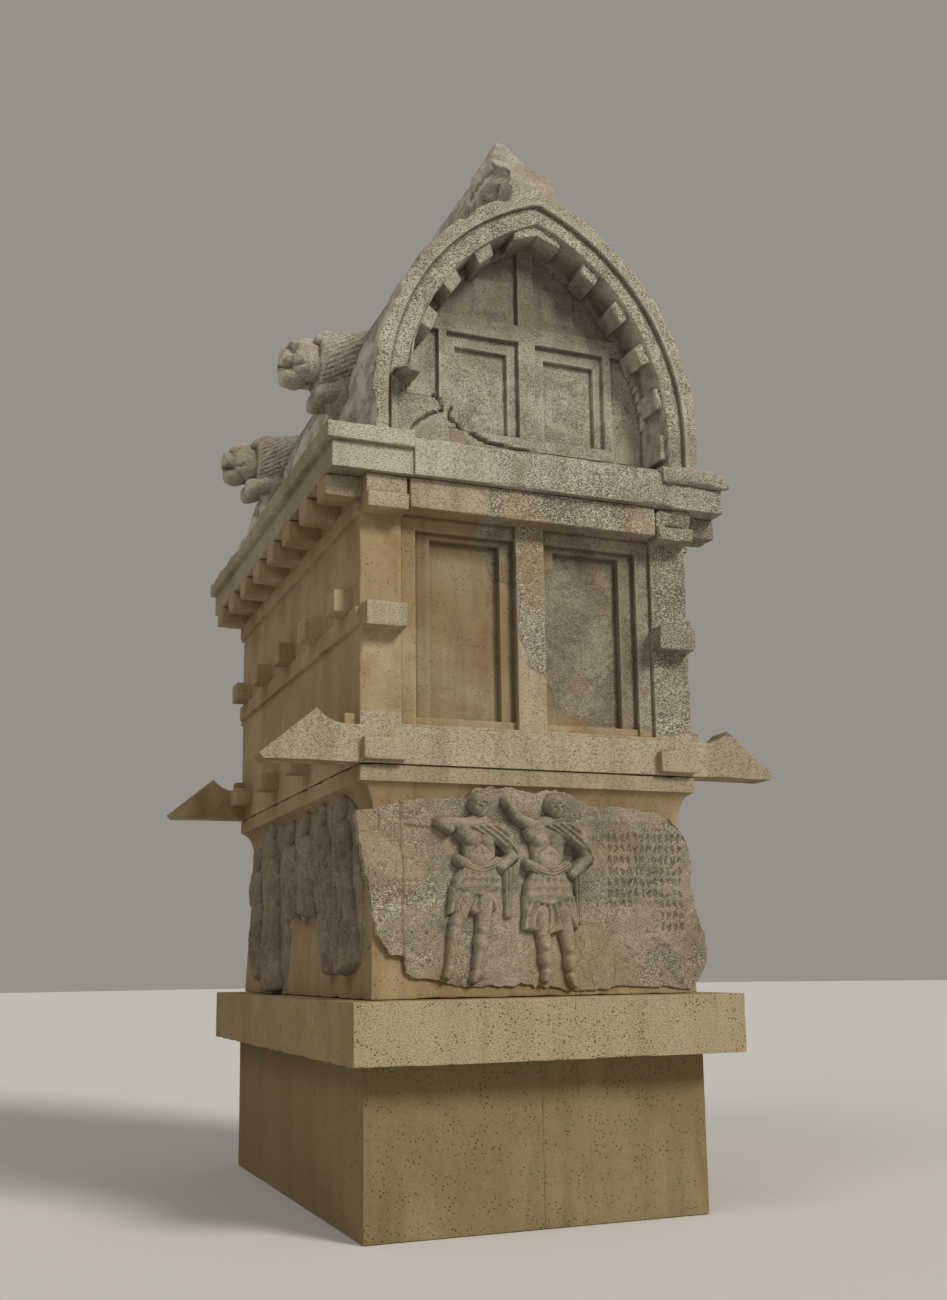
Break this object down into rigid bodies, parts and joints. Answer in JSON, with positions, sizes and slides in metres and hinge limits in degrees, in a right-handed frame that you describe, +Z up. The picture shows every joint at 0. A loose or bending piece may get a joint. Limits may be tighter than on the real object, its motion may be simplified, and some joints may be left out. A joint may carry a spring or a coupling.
{
  "type": "stone sarcophagus",
  "caption": "House-shaped stone tomb chest with a hollow pointed lid and broken ridge crest, carved beam ends, a relief block below and a plain stepped plinth.",
  "frame": {"origin": "middle of the plinth's underside, on the floor", "axes": "+X to the right along the decorated front, +Y from the front to the back, +Z up"},
  "size_m": [2.3, 2.633, 4.842],
  "materials": {
    "plinth_stone": "honed, small pits",
    "slab_stone": "porous, sawn",
    "relief_stone": "weathered carving in plain infill",
    "chest_stone": "rough, part weathered",
    "lid_stone": "rough, pitted, weathered"
  },
  "bodies": {
    "root": {"plinth_block_left": "plinth_stone", "plinth_block_right": "plinth_stone", "plinth_slab": "slab_stone", "relief_block": "relief_stone", "chest": "chest_stone", "lid": "lid_stone"}
  },
  "joints": []
}
